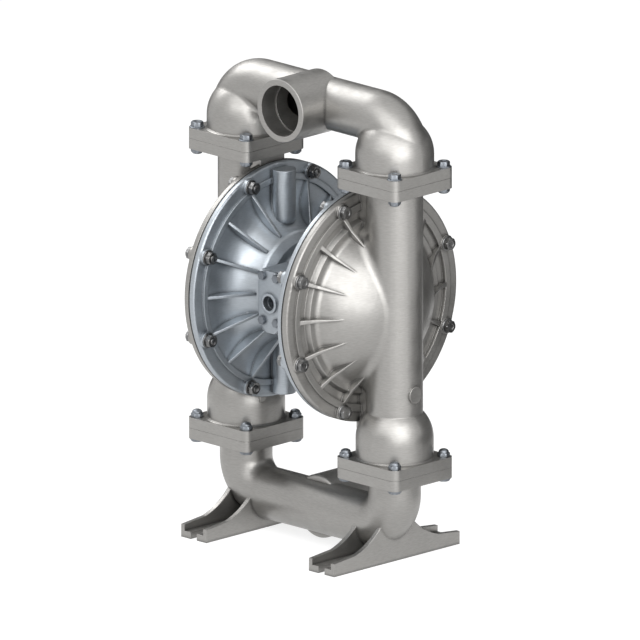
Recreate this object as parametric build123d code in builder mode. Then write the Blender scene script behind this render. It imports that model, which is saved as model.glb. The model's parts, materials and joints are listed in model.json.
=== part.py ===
from build123d import *
import os
from math import asin, cos, degrees, radians, sin, sqrt

os.makedirs("parts", exist_ok=True)

# An air operated double diaphragm pump of the 3 inch class, in millimetres.
# X runs along the diaphragm rod, the outlet faces -Y, the inlet faces +Y and Z is up from the floor.
# The pump is the same on both sides of X = 0, so paired pieces are made on the +X side and mirrored.

# Layout
column_x = 175.0  # middle of each side column
inlet_z = 59.3  # height of the inlet pipe's axis
inlet_rise = 102.0  # from the inlet pipe's axis to the lower flange joint
lower_disc_gap = 38.9  # between the nuts of the lower joint and the caps' round edge
upper_disc_gap = 0.2  # between the caps' round edge and the nuts of the upper joint
outlet_rise = 98.5  # from the upper flange joint to the outlet pipe's axis
joint_gap = 0.3  # left between two bolted flanges by the seat's seal

# Pipes and their square flanges
pipe_r = 44.0
pipe_wall = 7.0
inlet_elbow_r = 56.0
outlet_elbow_r = 62.0
elbow_inset = 1.0  # of the outlet elbow's outer wall behind the ball cage's
flange_side = 142.0
flange_thick = 18.0
flange_corner_r = 12.0
flange_bolt_pitch = 115.5
neck_fillet = 4.0

# Threaded pipe ports, 3 inch
port_r = 54.0
port_reach = 95.3
port_bore_r = 43.6
port_thread_length = 33.0
port_relief = 2.0
port_back = 6.0
port_back_fillet = 5.0
port_rim_fillet = 1.2

# Feet
foot_x = 150.5
foot_width = 59.4
foot_length = 296.0
pad_thick = 11.5
slot_width = 14.4
slot_length = 78.0
fin_thick = 7.7
fin_tip_z = 22.0
fin_bend_y = 98.0
fin_bend_z = 27.0
fin_peak_y = 38.0
fin_peak_z = 64.0
fin_sag = 5.0

# Ball cages and ball valves
inlet_cage_r = 65.3
outlet_cage_r = 66.0
cage_wall = 7.0
inlet_cage_rise = 51.1  # from the lower flange joint to the middle of the cage's round top
outlet_cage_rise = 41.2  # from the upper flange joint to the middle of the cage's round top
cage_fillet = 8.0
cage_mouth_r = 46.0
cage_mouth_height = 8.0
ball_r = 42.0
ball_lift = 22.0
ball_height = 15.0  # ball's middle above its seat's top face
guide_thick = 7.0
guide_clearance = 1.5
stop_clearance = 0.6
stop_width = 12.0
guide_root = 1.0
seat_r = 52.0
seat_thick = 14.0
seat_bore_r = 34.0
seat_clearance = 0.3
seal_r = 50.2
seal_section_r = 1.65
seal_step_r = 48.3
seal_step_depth = 3.1
seal_clearance = 0.02

# Fluid caps, turned about the rod axis
disc_r = 201.0
fluid_face_x = 110.5
fluid_flange_x = 121.0
fluid_ridge_x = 124.5
fluid_ridge_edge = 18.0  # from the ridge to the cap's round edge
fluid_ridge_width = 12.0
fluid_recess_x = 118.0
fluid_recess_width = 15.0
shoulder_x = 126.5
shoulder_slope = 5.0
shoulder_width = 15.4
dome_top_x = 203.4
dome_wall = 9.0
dome_fillet = 12.0
chamber_edge = 53.0  # from the chamber's wall to the cap's round edge
chamber_floor_x = 118.5
chamber_step = 6.0
column_r = 47.5
column_bore_r = 39.0
column_fillet = 18.0  # between the dome and the column
web_width = 56.0
web_x = 113.0
web_rise = 9.6  # of the web's lower end above the middle of the ball cage
fluid_rib_root = 8.0
fluid_rib_tip = 1.8
fluid_rib_round = 0.8
fluid_rib_end_r = 98.0
fluid_rib_rise = 6.5
plug_rise = 82.6  # of the plug above the middle of the ball cage
plug_r = 14.4
plug_reach = 3.0
rim_fillet = 3.0
rib_bury = 1.5  # how deep the ends of a rib run into the casting
cut_past = 1.0  # how far a cut runs past the face that it opens

# Bolts round the caps
cap_bolt_edge = 14.0  # from the bolts to the caps' round edge
cap_bolt_count = 8
cap_bolt_angle = 22.5
cap_bolt_r = 6.0
cap_hole_r = 6.7
bolt_boss_r = 13.6
fluid_boss_x = 126.0
air_boss_x = 92.0
cap_head_flats = 18.0
cap_head_height = 10.0
cap_nut_height = 10.0
cap_washer_r = 12.0
cap_washer_thick = 2.0
bolt_point = 2.0

# Air caps, turned about the rod axis
air_face_x = 107.5
air_flange_x = 98.0
air_ridge_x = 94.5
air_ridge_edge = 21.0  # from the ridge to the cap's round edge
air_ridge_width = 10.0
air_recess_x = 99.5
air_recess_width = 20.0  # of the flat ring that turns into the bell's flare
flare_bend_r = 59.2
bell_r = 92.0
bell_x = 52.0
bell_neck_r = 76.0
bell_neck_x = 42.0
hub_r = 50.0
hub_neck_r = 62.0
hub_back_x = 50.0
air_wall = 8.0
bell_fillet = 8.0
air_rib_thick = 5.0
air_rib_end_r = 91.0
air_rib_end_x = 55.0
air_rib_round = 4.0
air_boss_r = 20.0
air_boss_axis_x = 86.0
air_boss_end = 96.0  # from the rod axis to the boss's round end
air_boss_edge = 8.0  # from the boss's flat end to the cap's round edge
air_boss_round = 15.0

# Rod, washers and diaphragms
rod_r = 12.7
rod_half = 94.8
running_clearance = 0.05
rod_body_clearance = 0.6
washer_r = 78.0
washer_edge = 5.0
washer_rim_fillet = 3.0
fluid_washer_middle_r = 30.0
air_washer_middle_r = 34.0
rod_chamfer = 1.0
diaphragm_hub_thick = 6.0
diaphragm_flat_r = 82.0
fold_depth = 11.0
fold_edge = 8.0  # from the fold to the chamber's wall
fluid_washer_thick = 13.0
screw_r = 10.0
screw_hole_clearance = 0.3
screw_flats = 36.0
screw_head = 12.0
screw_depth = 34.0
tip_gap = 2.0  # between a screw's end and the end of its hole
bushing_r = 17.0
bushing_start_x = 27.0
bushing_length = 16.0
seal_width = 6.0
seat_play = 0.05

# Centre body between the air caps
body_half = 25.0
body_front_y = -112.0
body_back_y = 100.0
body_top = 54.0  # above the rod axis
body_bottom = 52.0  # below the rod axis
body_flange_thick = 14.0
gasket_thick = 1.0
gasket_play = 0.5  # round the screws and pins that pass a gasket
inlet_plate_half = 27.0
inlet_plate_thick = 6.0
inlet_plate_corner = 17.0
inlet_screw_x = 16.5
inlet_screw_up = 45.5
inlet_screw_down = 31.5
small_screw_r = 4.0
small_screw_flats = 13.0
small_screw_head = 5.5
small_screw_length = 26.0
air_port_r = 17.4
air_port_bore_r = 12.7
air_port_reach = 4.0
air_port_depth = 45.0
hub_screw_reach = 36.0
hub_screw_count = 4
hub_screw_angle = 45.0
hub_screw_socket_r = 3.2
hub_screw_head_r = 7.0
hub_screw_head = 8.0
hub_screw_reach_x = 8.0

# Pilot valve under the rod
pilot_drop = 34.0
pilot_r = 8.0
pilot_sleeve_r = 12.0
pilot_pin_r = 5.0
pilot_half = 62.0
pilot_land_half = 16.0

# Main air valve behind the centre body
valve_half = 32.0
valve_depth = 65.0
valve_half_height = 60.0
valve_corner_r = 6.0
valve_bore_y = 32.0  # from the valve block's front face
sleeve_r = 19.0
spool_r = 14.0
spool_neck_r = 8.0
spool_half = 44.0
spool_land = 13.0
valve_cap_thick = 12.0
valve_cap_side = 56.0
valve_screw_x = 26.0
valve_screw_z = 36.0
valve_cap_screw_pitch = 44.0
valve_head_share = 0.9
valve_cap_screw_r = 2.5
valve_cap_screw_head_r = 4.5
valve_cap_screw_head = 5.0
valve_screw_depth = 14.0
exhaust_r = 23.0
exhaust_bore_r = 16.3
exhaust_reach = 18.0
exhaust_depth = 30.0
exhaust_drop = 22.0

# Flange fasteners
flange_bolt_r = 6.0
flange_hole_r = 6.8
flange_nut_flats = 18.5
flange_washer_r = 12.0
flange_washer_thick = 2.0
outlet_head_height = 8.0
inlet_head_height = 3.8
outlet_nut_height = 10.0
inlet_nut_height = 13.5
nut_hex_height = 7.0
nut_dome_share = 0.95  # of the dome's height that its rounding takes

# Values worked out from the sizes above
lower_joint_z = inlet_z + inlet_rise
inlet_flange_z = lower_joint_z - flange_thick
cap_bottom_z = lower_joint_z + joint_gap
cap_foot_top_z = cap_bottom_z + flange_thick
inlet_cage_z = lower_joint_z + inlet_cage_rise
rod_z = cap_foot_top_z + inlet_nut_height + lower_disc_gap + disc_r
cap_neck_z = rod_z + disc_r + upper_disc_gap + outlet_nut_height
upper_joint_z = cap_neck_z + flange_thick
outlet_bottom_z = upper_joint_z + joint_gap
outlet_flange_z = outlet_bottom_z + flange_thick
outlet_cage_z = upper_joint_z + outlet_cage_rise
outlet_z = upper_joint_z + outlet_rise
outlet_leg_x = column_x + outlet_cage_r - pipe_r - elbow_inset
web_bottom_z = inlet_cage_z + web_rise
plug_z = inlet_cage_z + plug_rise
cap_bolt_circle_r = disc_r - cap_bolt_edge
fluid_ridge_out_r = disc_r - fluid_ridge_edge
fluid_ridge_in_r = fluid_ridge_out_r - fluid_ridge_width
fluid_recess_r = fluid_ridge_in_r - fluid_recess_width
shoulder_r = fluid_recess_r - shoulder_slope
dome_edge_r = shoulder_r - shoulder_width
dome_rise = dome_top_x - shoulder_x
dome_r = (dome_edge_r**2 + dome_rise**2) / (2 * dome_rise)
dome_x = dome_top_x - dome_r
chamber_r = disc_r - chamber_edge
chamber_step_r = chamber_r - chamber_step
fold_out_r = chamber_r - fold_edge
air_ridge_out_r = disc_r - air_ridge_edge
air_ridge_in_r = air_ridge_out_r - air_ridge_width
flare_r = air_ridge_in_r - air_recess_width
air_boss_length = disc_r - air_boss_edge - air_boss_end
hub_x = body_half + gasket_thick
hub_face_x = (air_face_x + fluid_face_x) / 2 + diaphragm_hub_thick / 2
head_x = hub_face_x + fluid_washer_thick
plate_y = body_front_y - gasket_thick
port_face_y = plate_y - inlet_plate_thick - air_port_reach
valve_y = body_back_y + gasket_thick
spool_y = valve_y + valve_bore_y
valve_back_y = valve_y + valve_depth
rod_axis = Axis((0, 0, rod_z), (1, 0, 0))


def write_piece(piece, node):
    """Label a finished piece and write its file."""
    piece.part.label = node
    export_step(piece.part, f"parts/{node}.step")


def write_pair(right, kind):
    """Write a piece of the +X side and its mirror image on the other side."""
    with BuildPart() as left:
        mirror(right.part, about=Plane.YZ)
    write_piece(right, f"right_{kind}")
    write_piece(left, f"left_{kind}")


def corner(sketch, x, y):
    """The corner of a sketch nearest to a point."""
    return sketch.vertices().sort_by_distance((x, y))[0]


def rib_ring(rib):
    """A rib repeated round the rod axis, at each cap bolt and between them, but not at the top and bottom."""
    steps = [step for step in range(2 * cap_bolt_count) if step % cap_bolt_count]
    return [rib.rotate(rod_axis, step * 180 / cap_bolt_count) for step in steps]


def column_spots(sides=(-1, 1)):
    """The middles of the square flanges, seen from above."""
    return Locations(*[(side * column_x, 0) for side in sides])


def flange_outline(sides=(-1, 1)):
    """Square flange outline with round corners at each column."""
    with BuildSketch() as outline:
        with column_spots(sides):
            RectangleRounded(flange_side, flange_side, flange_corner_r)
    return outline.sketch


def flange_holes(radius, sides=(-1, 1)):
    """Four round outlines at the corners of each flange."""
    with BuildSketch() as holes:
        with column_spots(sides):
            with GridLocations(flange_bolt_pitch, flange_bolt_pitch, 2, 2):
                Circle(radius)
    return holes.sketch


def bent_bar(pipe_z, end_z, leg_x, bend_r, radius):
    """A U of round bar: a level run between two elbows, whose upright legs stop at end_z."""
    up = 1 if end_z > pipe_z else -1
    run_half = leg_x - bend_r
    bend_z = pipe_z + up * bend_r
    with BuildPart() as bar:
        with BuildSketch(Plane.YZ.offset(-run_half)) as run:
            with Locations((0, pipe_z)):
                Circle(radius)
        extrude(amount=2 * run_half)
        for side in (-1, 1):
            with BuildSketch(Plane.YZ.offset(side * run_half)) as elbow:
                with Locations((0, pipe_z)):
                    Circle(radius)
            revolve(axis=Axis((side * run_half, 0, bend_z), (0, -side * up, 0)), revolution_arc=90)
        with BuildSketch(Plane.XY.offset(bend_z)) as legs:
            with Locations((-leg_x, 0), (leg_x, 0)):
                Circle(radius)
        extrude(amount=end_z - bend_z)
    return bar.part


def port_boss(pipe_z, toward):
    """Boss of a threaded port along Y, with a round back and a slightly round rim."""
    with BuildPart() as boss:
        with BuildSketch(Plane.XY.offset(pipe_z)) as half:
            with Locations((0, toward * port_reach)):
                far = Align.MAX if toward > 0 else Align.MIN
                Rectangle(port_r, port_reach + port_back, align=(Align.MIN, far))
            fillet(corner(half, port_r, -toward * port_back), radius=port_back_fillet)
            fillet(corner(half, port_r, toward * port_reach), radius=port_rim_fillet)
        revolve(axis=Axis((0, 0, pipe_z), (0, 1, 0)))
    return boss.part


def port_inside(pipe_z, toward):
    """Inside of a port: the threaded length, then a slightly narrower bore past the pipe's middle."""
    with BuildPart() as inside:
        relief_r = port_bore_r - port_relief
        step_y = port_reach - port_thread_length
        with BuildSketch(Plane.XY.offset(pipe_z)) as half:
            with BuildLine():
                Polyline(
                    (0, -toward * port_back / 2),
                    (relief_r, -toward * port_back / 2),
                    (relief_r, toward * step_y),
                    (port_bore_r, toward * step_y),
                    (port_bore_r, toward * port_reach),
                    (0, toward * port_reach),
                    close=True,
                )
            make_face()
        revolve(axis=Axis((0, 0, pipe_z), (0, 1, 0)))
    return inside.part


def cage_inside(joint_z, cage_z, inner_r):
    """Inside of the +X ball cage: a narrow mouth, a wide drum and a round top."""
    with BuildPart() as inside:
        with BuildSketch(Plane.XZ) as half:
            with BuildLine():
                Polyline(
                    (0, cage_z + inner_r),
                    (0, joint_z),
                    (cage_mouth_r, joint_z),
                    (cage_mouth_r, joint_z + cage_mouth_height),
                    (inner_r, joint_z + cage_mouth_height + inner_r - cage_mouth_r),
                    (inner_r, cage_z),
                )
                CenterArc((0, cage_z), inner_r, 0, 90)
            make_face()
        revolve(axis=Axis.Z)
    return inside.part.moved(Location((column_x, 0, 0)))


def ball_guides(joint_z, cage_z, inner_r):
    """Four fins inside the +X ball cage, which lead the ball and stop its lift."""
    lifted_z = joint_z + ball_height + ball_lift
    foot_z = joint_z + cage_mouth_height
    with BuildPart() as guides:
        with BuildSketch(Plane.XY.offset(foot_z)) as plates:
            with Locations((column_x, 0)):
                Rectangle(2 * inner_r, guide_thick)
                Rectangle(guide_thick, 2 * inner_r)
        extrude(amount=lifted_z + ball_r - stop_width - foot_z)
        add(cage_inside(joint_z, cage_z, inner_r + guide_root), mode=Mode.INTERSECT)
        with BuildSketch(Plane.XY.offset(joint_z)) as ball_room:
            with Locations((column_x, 0)):
                Circle(ball_r + guide_clearance)
        extrude(amount=lifted_z - joint_z, mode=Mode.SUBTRACT)
        with Locations((column_x, 0, lifted_z)):
            Sphere(ball_r + stop_clearance, mode=Mode.SUBTRACT)
        with BuildSketch(Plane.XY.offset(lifted_z)) as throat:
            with Locations((column_x, 0)):
                Circle(ball_r - stop_width)
        extrude(amount=2 * ball_r, mode=Mode.SUBTRACT)
    return guides.part


# Inlet manifold: a U shaped pipe with two feet, two square flanges and a threaded port
with BuildPart() as inlet_manifold:
    add(bent_bar(inlet_z, inlet_flange_z, column_x, inlet_elbow_r, pipe_r))
    extrude(Plane.XY.offset(inlet_flange_z) * flange_outline(), amount=flange_thick)
    necks = inlet_manifold.edges().filter_by(GeomType.CIRCLE)
    necks = necks.filter_by_position(Axis.Z, inlet_flange_z, inlet_flange_z)
    fillet([edge for edge in necks if abs(edge.radius - pipe_r) < running_clearance], radius=neck_fillet)
    for side in (-1, 1):
        with BuildSketch(Plane.XY) as pad:
            with Locations((side * foot_x, 0)):
                Rectangle(foot_width, foot_length)
                with GridLocations(0, foot_length, 1, 2):
                    SlotOverall(2 * slot_length, slot_width, rotation=90, mode=Mode.SUBTRACT)
        extrude(amount=pad_thick)
        for fin_x in (foot_x - foot_width / 2, foot_x + foot_width / 2 - fin_thick):
            with BuildSketch(Plane.YZ.offset(side * fin_x)) as fin:
                with BuildLine():
                    Polyline(
                        (0, 0),
                        (foot_length / 2, 0),
                        (foot_length / 2, fin_tip_z),
                        (fin_bend_y, fin_bend_z),
                    )
                    SagittaArc((fin_bend_y, fin_bend_z), (fin_peak_y, fin_peak_z), fin_sag)
                    Polyline((fin_peak_y, fin_peak_z), (0, fin_peak_z), (0, 0))
                make_face()
                mirror(about=Plane.YZ)
            extrude(amount=side * fin_thick)
    add(port_boss(inlet_z, 1))
    inlet_bore = bent_bar(inlet_z, lower_joint_z, column_x, inlet_elbow_r, pipe_r - pipe_wall)
    add(inlet_bore, mode=Mode.SUBTRACT)
    add(port_inside(inlet_z, 1), mode=Mode.SUBTRACT)
    with BuildSketch(Plane.XY.offset(lower_joint_z)) as seat_pockets:
        with column_spots():
            Circle(seat_r + seat_play)
    extrude(amount=-seat_thick, mode=Mode.SUBTRACT)
    bolt_holes = Plane.XY.offset(lower_joint_z) * flange_holes(flange_hole_r)
    extrude(bolt_holes, amount=-flange_thick, mode=Mode.SUBTRACT)
write_piece(inlet_manifold, "inlet_manifold")

# Outlet manifold: the same pipe upside down, whose ends swell into the upper ball cages
with BuildPart() as outlet_manifold:
    leg_end_z = outlet_z - outlet_elbow_r - pipe_wall
    add(bent_bar(outlet_z, leg_end_z, outlet_leg_x, outlet_elbow_r, pipe_r))
    with BuildSketch(Plane.XY.offset(outlet_flange_z)) as cage_walls:
        with column_spots():
            Circle(outlet_cage_r)
    extrude(amount=outlet_cage_z - outlet_flange_z)
    with Locations(*[(side * column_x, 0, outlet_cage_z) for side in (-1, 1)]):
        Sphere(outlet_cage_r, arc_size1=0, align=(Align.CENTER, Align.CENTER, Align.MIN))
    cage_tops = outlet_manifold.faces().filter_by(GeomType.SPHERE)
    elbows = outlet_manifold.faces().filter_by(GeomType.TORUS)
    fillet([e for e in cage_tops.edges() if any(e.is_same(o) for o in elbows.edges())], radius=cage_fillet)
    extrude(Plane.XY.offset(outlet_bottom_z) * flange_outline(), amount=flange_thick)
    add(port_boss(outlet_z, -1))
    outlet_bore = bent_bar(outlet_z, leg_end_z, outlet_leg_x, outlet_elbow_r, pipe_r - pipe_wall)
    add(outlet_bore, mode=Mode.SUBTRACT)
    add(port_inside(outlet_z, -1), mode=Mode.SUBTRACT)
    outlet_room = cage_inside(outlet_bottom_z, outlet_cage_z, outlet_cage_r - cage_wall)
    outlet_guides = ball_guides(outlet_bottom_z, outlet_cage_z, outlet_cage_r - cage_wall)
    add([outlet_room, outlet_room.mirror(Plane.YZ)], mode=Mode.SUBTRACT)
    add([outlet_guides, outlet_guides.mirror(Plane.YZ)])
    bolt_holes = Plane.XY.offset(outlet_bottom_z) * flange_holes(flange_hole_r)
    extrude(bolt_holes, amount=flange_thick, mode=Mode.SUBTRACT)
write_piece(outlet_manifold, "outlet_manifold")

# Fluid cap: a ribbed dome whose outer side carries a column, a ball cage and two square flanges
dome_foot_r = sqrt(dome_r**2 - (fluid_face_x - dome_x) ** 2)


def swept_edges(builder, kind):
    """The edges where the part's round drums run into its faces of the given kind."""
    drums = builder.faces().filter_by(GeomType.CYLINDER)
    return [e for e in builder.faces().filter_by(kind).edges() if any(e.is_same(o) for o in drums.edges())]


with BuildPart() as dome_and_column:
    with BuildSketch(Plane.XZ) as dome_half:
        with BuildLine():
            CenterArc((dome_x, rod_z), dome_r, 0, degrees(asin(dome_foot_r / dome_r)))
            Polyline((fluid_face_x, rod_z + dome_foot_r), (fluid_face_x, rod_z), (dome_x + dome_r, rod_z))
        make_face()
    revolve(axis=rod_axis)
    with BuildSketch(Plane.XY.offset(inlet_cage_z)) as column:
        with Locations((column_x, 0)):
            Circle(column_r)
    extrude(amount=cap_neck_z - inlet_cage_z)
    fillet(swept_edges(dome_and_column, GeomType.SPHERE), radius=column_fillet)

# One rib of the fluid cap, above the rod: as wide as its root at the ridge and almost a point on the dome
with BuildPart() as fluid_rib:
    with BuildSketch(Plane.XZ) as rib_side:
        rib_end_x = dome_x + sqrt(dome_r**2 - fluid_rib_end_r**2) - rib_bury
        with BuildLine():
            Polyline(
                (fluid_recess_x - rib_bury, rod_z + fluid_ridge_in_r + rib_bury),
                (fluid_ridge_x, rod_z + fluid_ridge_in_r + rib_bury),
                (shoulder_x + fluid_rib_rise, rod_z + shoulder_r),
                (rib_end_x, rod_z + fluid_rib_end_r),
                (rib_end_x - dome_wall / 2, rod_z + fluid_rib_end_r),
                (shoulder_x - dome_wall / 2, rod_z + dome_edge_r),
                close=True,
            )
        make_face()
    extrude(amount=fluid_rib_root / 2, both=True)
    with BuildSketch(Plane.YZ.offset(fluid_face_x)) as rib_plan:
        root_z = rod_z + fluid_ridge_in_r + rib_bury
        tip_z = rod_z + fluid_rib_end_r
        with BuildLine():
            Polyline(
                (-fluid_rib_root / 2, root_z),
                (fluid_rib_root / 2, root_z),
                (fluid_rib_tip / 2, tip_z),
                (-fluid_rib_tip / 2, tip_z),
                close=True,
            )
        make_face()
    extrude(amount=dome_x + dome_r - fluid_face_x, mode=Mode.INTERSECT)
    crests = [
        edge
        for face in fluid_rib.faces()
        if face.normal_at().X > abs(face.normal_at().Y) and face.normal_at().Z > 0
        for edge in face.edges()
        if edge.length > fluid_rib_root
    ]
    fillet(crests, radius=fluid_rib_round)

with BuildPart() as fluid_cap:
    with BuildSketch(Plane.XZ) as cap_outside:
        with BuildLine():
            CenterArc((dome_x, rod_z), dome_r, 0, degrees(asin(dome_edge_r / dome_r)))
            Polyline(
                (shoulder_x, rod_z + dome_edge_r),
                (shoulder_x, rod_z + shoulder_r),
                (fluid_recess_x, rod_z + fluid_recess_r),
                (fluid_recess_x, rod_z + fluid_ridge_in_r),
                (fluid_ridge_x, rod_z + fluid_ridge_in_r),
                (fluid_ridge_x, rod_z + fluid_ridge_out_r),
                (fluid_flange_x, rod_z + fluid_ridge_out_r),
                (fluid_flange_x, rod_z + disc_r),
                (fluid_face_x, rod_z + disc_r),
                (fluid_face_x, rod_z),
                (dome_x + dome_r, rod_z),
            )
        make_face()
        fillet(corner(cap_outside, shoulder_x, rod_z + dome_edge_r), radius=dome_fillet)
        fillet(corner(cap_outside, fluid_flange_x, rod_z + disc_r), radius=rim_fillet)
    revolve(axis=rod_axis)
    add(dome_and_column.part)
    with BuildSketch(Plane.YZ.offset(fluid_face_x)) as bosses:
        with Locations((0, rod_z)):
            with PolarLocations(cap_bolt_circle_r, cap_bolt_count, start_angle=cap_bolt_angle):
                Circle(bolt_boss_r)
    extrude(amount=fluid_boss_x - fluid_face_x)
    add(rib_ring(fluid_rib.part))
    with BuildSketch(Plane.XY.offset(web_bottom_z)) as web:
        with Locations((web_x, 0)):
            Rectangle(column_x - web_x, web_width, align=(Align.MIN, Align.CENTER))
    extrude(amount=cap_neck_z - web_bottom_z)
    with BuildSketch(Plane.XY.offset(cap_foot_top_z)) as cage:
        with Locations((column_x, 0)):
            Circle(inlet_cage_r)
    extrude(amount=inlet_cage_z - cap_foot_top_z)
    with Locations((column_x, 0, inlet_cage_z)):
        Sphere(inlet_cage_r, arc_size1=0, align=(Align.CENTER, Align.CENTER, Align.MIN))
    with BuildSketch(Plane.YZ.offset(column_x)) as plug:
        with Locations((0, plug_z)):
            Circle(plug_r)
    extrude(amount=column_r + plug_reach)
    extrude(Plane.XY.offset(cap_bottom_z) * flange_outline((1,)), amount=flange_thick)
    extrude(Plane.XY.offset(cap_neck_z) * flange_outline((1,)), amount=flange_thick)
    # everything inboard of the joint face, and the wet inside
    with BuildSketch(Plane.XZ) as chamber:
        inner_r = dome_r - dome_wall
        inner_edge_r = sqrt(inner_r**2 - (chamber_floor_x - dome_x) ** 2)
        with BuildLine():
            CenterArc((dome_x, rod_z), inner_r, 0, degrees(asin(inner_edge_r / inner_r)))
            Polyline(
                (chamber_floor_x, rod_z + inner_edge_r),
                (chamber_floor_x, rod_z + chamber_step_r),
                (fluid_face_x - cut_past, rod_z + chamber_r),
                (fluid_face_x - cut_past, rod_z),
                (dome_x + inner_r, rod_z),
            )
        make_face()
    revolve(axis=rod_axis, mode=Mode.SUBTRACT)
    bore_start_z = inlet_cage_z + sqrt((inlet_cage_r - cage_wall) ** 2 - column_bore_r**2)
    with BuildSketch(Plane.XY.offset(bore_start_z)) as column_bore:
        with Locations((column_x, 0)):
            Circle(column_bore_r)
    extrude(amount=upper_joint_z - bore_start_z, mode=Mode.SUBTRACT)
    add(cage_inside(cap_bottom_z, inlet_cage_z, inlet_cage_r - cage_wall), mode=Mode.SUBTRACT)
    add(ball_guides(cap_bottom_z, inlet_cage_z, inlet_cage_r - cage_wall))
    with BuildSketch(Plane.XY.offset(upper_joint_z)) as seat_pocket:
        with Locations((column_x, 0)):
            Circle(seat_r + seat_play)
    extrude(amount=-seat_thick, mode=Mode.SUBTRACT)
    for flange_z in (cap_bottom_z, cap_neck_z):
        bolt_holes = Plane.XY.offset(flange_z) * flange_holes(flange_hole_r, (1,))
        extrude(bolt_holes, amount=flange_thick, mode=Mode.SUBTRACT)
    with BuildSketch(Plane.YZ.offset(fluid_face_x)) as bolt_holes:
        with Locations((0, rod_z)):
            with PolarLocations(cap_bolt_circle_r, cap_bolt_count, start_angle=cap_bolt_angle):
                Circle(cap_hole_r)
    extrude(amount=fluid_boss_x - fluid_face_x, mode=Mode.SUBTRACT)
write_pair(fluid_cap, "fluid_cap")

# One rib of the air cap, above the rod, and the upright boss that stands on its bell
with BuildPart() as air_rib:
    with BuildSketch(Plane.XZ) as air_rib_side:
        with BuildLine():
            Polyline(
                (air_recess_x + rib_bury, rod_z + air_ridge_in_r + rib_bury),
                (air_ridge_x, rod_z + air_ridge_in_r + rib_bury),
                (air_rib_end_x, rod_z + air_rib_end_r),
                (air_recess_x + rib_bury, rod_z + air_rib_end_r),
                close=True,
            )
        make_face()
        fillet(corner(air_rib_side, air_rib_end_x, rod_z + air_rib_end_r), radius=air_rib_round)
    extrude(amount=air_rib_thick / 2, both=True)

with BuildPart() as air_boss:
    with BuildSketch(Plane.XY.offset(rod_z + air_boss_end)) as boss_outline:
        with Locations((air_boss_axis_x, 0)):
            Circle(air_boss_r)
    extrude(amount=air_boss_length)
    fillet(air_boss.edges().sort_by(Axis.Z)[0], radius=air_boss_round)

# Air cap: a ribbed bell that flares from its rim to a cup and a hub against the centre body
with BuildPart() as air_cap:
    with BuildSketch(Plane.XZ) as bell_outside:
        with BuildLine():
            Polyline(
                (bell_x, rod_z + bell_r),
                (bell_neck_x, rod_z + bell_neck_r),
                (bell_neck_x, rod_z + hub_neck_r),
                (hub_x, rod_z + hub_r),
                (hub_x, rod_z),
                (air_face_x, rod_z),
                (air_face_x, rod_z + disc_r),
                (air_flange_x, rod_z + disc_r),
                (air_flange_x, rod_z + air_ridge_out_r),
                (air_ridge_x, rod_z + air_ridge_out_r),
                (air_ridge_x, rod_z + air_ridge_in_r),
                (air_recess_x, rod_z + air_ridge_in_r),
                (air_recess_x, rod_z + flare_r),
            )
            RadiusArc((air_recess_x, rod_z + flare_r), (bell_x, rod_z + bell_r), flare_bend_r)
        make_face()
        fillet(corner(bell_outside, bell_x, rod_z + bell_r), radius=bell_fillet)
        fillet(corner(bell_outside, bell_neck_x, rod_z + hub_neck_r), radius=bell_fillet)
        fillet(corner(bell_outside, air_flange_x, rod_z + disc_r), radius=rim_fillet)
    revolve(axis=rod_axis)
    with BuildSketch(Plane.YZ.offset(air_face_x)) as bosses:
        with Locations((0, rod_z)):
            with PolarLocations(cap_bolt_circle_r, cap_bolt_count, start_angle=cap_bolt_angle):
                Circle(bolt_boss_r)
    extrude(amount=air_boss_x - air_face_x)
    add(rib_ring(air_rib.part))
    add([air_boss.part, air_boss.part.rotate(rod_axis, 180)])
    with BuildSketch(Plane.XZ) as bell_inside:
        flare_start = (air_face_x + cut_past, rod_z + flare_r)
        flare_end = (bell_x + air_wall / 2, rod_z + bell_r - air_wall)
        with BuildLine():
            Polyline(
                flare_end,
                (hub_back_x, rod_z + bell_neck_r),
                (hub_back_x, rod_z),
                (air_face_x + cut_past, rod_z),
                flare_start,
            )
            RadiusArc(flare_start, flare_end, flare_bend_r + air_wall + cut_past)
        make_face()
    revolve(axis=rod_axis, mode=Mode.SUBTRACT)
    with BuildSketch(Plane.YZ.offset(air_face_x)) as bolt_holes:
        with Locations((0, rod_z)):
            with PolarLocations(cap_bolt_circle_r, cap_bolt_count, start_angle=cap_bolt_angle):
                Circle(cap_hole_r)
    extrude(amount=air_boss_x - air_face_x, mode=Mode.SUBTRACT)
    with BuildSketch(Plane.YZ.offset(hub_x)) as hub_bores:
        with Locations((0, rod_z)):
            Circle(rod_r + rod_body_clearance)
            with PolarLocations(hub_screw_reach, hub_screw_count, start_angle=hub_screw_angle):
                Circle(small_screw_r + seat_play)
        with Locations((0, rod_z - pilot_drop)):
            Circle(pilot_pin_r)
    extrude(amount=hub_back_x - hub_x, mode=Mode.SUBTRACT)
    with BuildSketch(Plane.YZ.offset(hub_back_x)) as bushing_bore:
        with Locations((0, rod_z)):
            Circle(bushing_r + seat_play)
    extrude(amount=bushing_start_x - hub_back_x, mode=Mode.SUBTRACT)
    with BuildSketch(Plane.YZ.offset(hub_back_x)) as screw_sinks:
        with Locations((0, rod_z)):
            with PolarLocations(hub_screw_reach, hub_screw_count, start_angle=hub_screw_angle):
                Circle(hub_screw_head_r + seat_play)
    extrude(amount=-hub_screw_head, mode=Mode.SUBTRACT)
write_pair(air_cap, "air_cap")

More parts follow.
